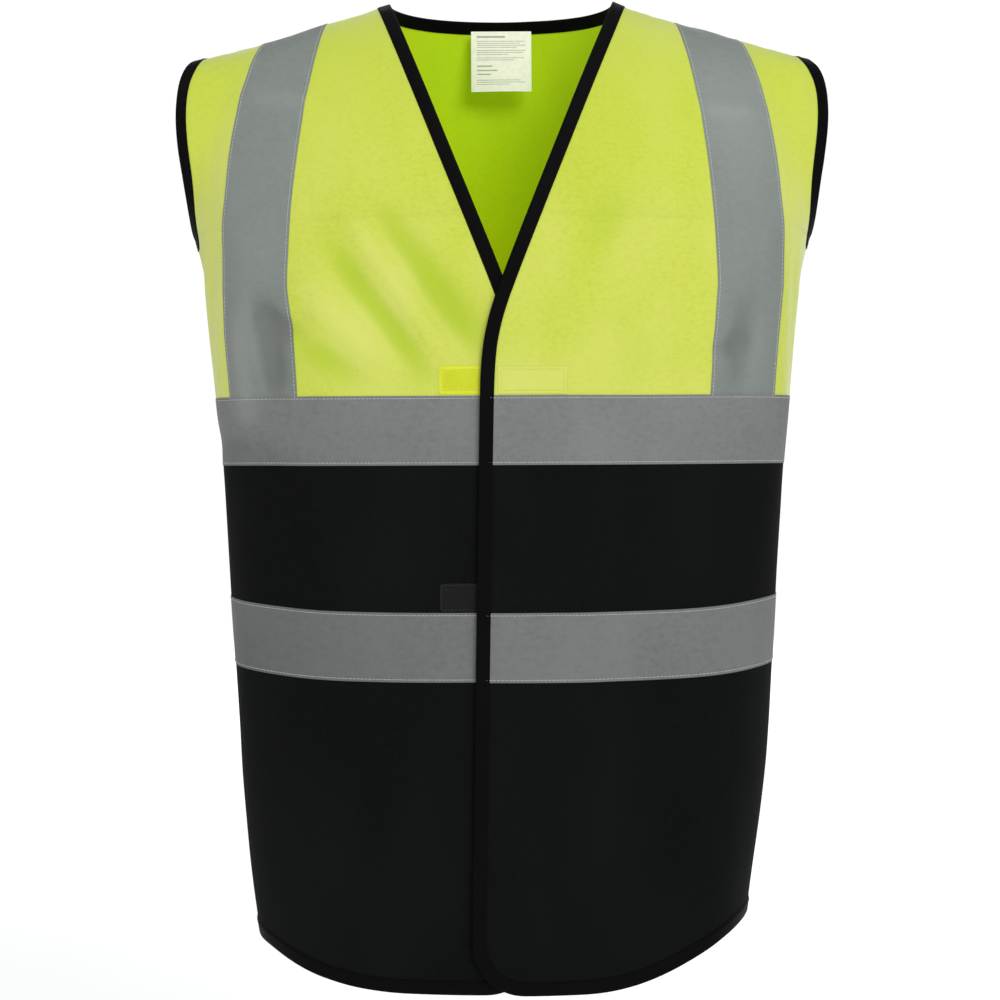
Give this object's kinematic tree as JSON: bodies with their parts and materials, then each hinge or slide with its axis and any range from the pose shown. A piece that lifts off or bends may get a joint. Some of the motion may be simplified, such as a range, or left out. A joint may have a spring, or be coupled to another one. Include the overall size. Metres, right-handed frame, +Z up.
{
  "type": "high visibility vest",
  "caption": "Sleeveless two-tone safety vest with reflective bands and shoulder braces, V neck, contrast binding and hook-and-loop front.",
  "frame": {"origin": "midway between the two points where the shoulder seams meet the neck, at their height", "axes": "+Z up along the wearer's spine, the front faces -Y, +X is the wearer's left"},
  "size_m": [0.4824, 0.2198, 0.7329],
  "materials": {
    "yellow_cloth": "warp-knit polyester in fluorescent yellow, matt, fine vertical rib",
    "black_cloth": "warp-knit polyester in black, matt",
    "reflective_tape": "glass-bead retroreflective tape on woven backing, silver grey, satin, light stitching along both edges",
    "black_binding": "folded woven polyester binding tape in black, slightly shiny",
    "yellow_fastener": "hook-and-loop tape in fluorescent yellow, fuzzy",
    "black_fastener": "hook-and-loop tape in black, fuzzy",
    "label_cloth": null
  },
  "bodies": {
    "back": {"back_yoke": "yellow_cloth", "back_skirt": "black_cloth", "back_upper_band": "reflective_tape", "back_lower_band": "reflective_tape", "back_left_brace": "reflective_tape", "back_right_brace": "reflective_tape", "back_left_armhole_binding": "black_binding", "back_right_armhole_binding": "black_binding", "back_hem_binding": "black_binding", "back_neck_binding": "black_binding"},
    "left_front": {"left_front_yoke": "yellow_cloth", "left_front_skirt": "black_cloth", "left_front_upper_band": "reflective_tape", "left_front_lower_band": "reflective_tape", "left_front_brace": "reflective_tape", "left_front_binding": "black_binding", "left_front_armhole_binding": "black_binding", "upper_loop_patch": "yellow_fastener", "lower_loop_patch": "black_fastener"},
    "right_front": {"right_front_yoke": "yellow_cloth", "right_front_skirt": "black_cloth", "right_front_upper_band": "reflective_tape", "right_front_lower_band": "reflective_tape", "right_front_brace": "reflective_tape", "right_front_binding": "black_binding", "right_front_armhole_binding": "black_binding", "upper_hook_patch": "yellow_fastener", "lower_hook_patch": "black_fastener"},
    "label": {"care_label": "label_cloth"}
  },
  "joints": [
    {"name": "left_front_open", "type": "hinge", "parent": "back", "child": "left_front", "pos_m": [0.181, 0, -0.714], "axis": [0.0964, 0, 0.9953], "range_deg": [0, 80]},
    {"name": "right_front_open", "type": "hinge", "parent": "back", "child": "right_front", "pos_m": [-0.181, 0, -0.714], "axis": [0.0964, 0, -0.9953], "range_deg": [0, 60]},
    {"name": "label_flip", "type": "hinge", "parent": "back", "child": "label", "pos_m": [0, 0.061, -0.0145], "axis": [-1, 0, 0], "range_deg": [0, 100]}
  ],
  "couplings": [
    {"joint": "right_front_open", "follows": "left_front_open", "ratio": 0.75}
  ]
}
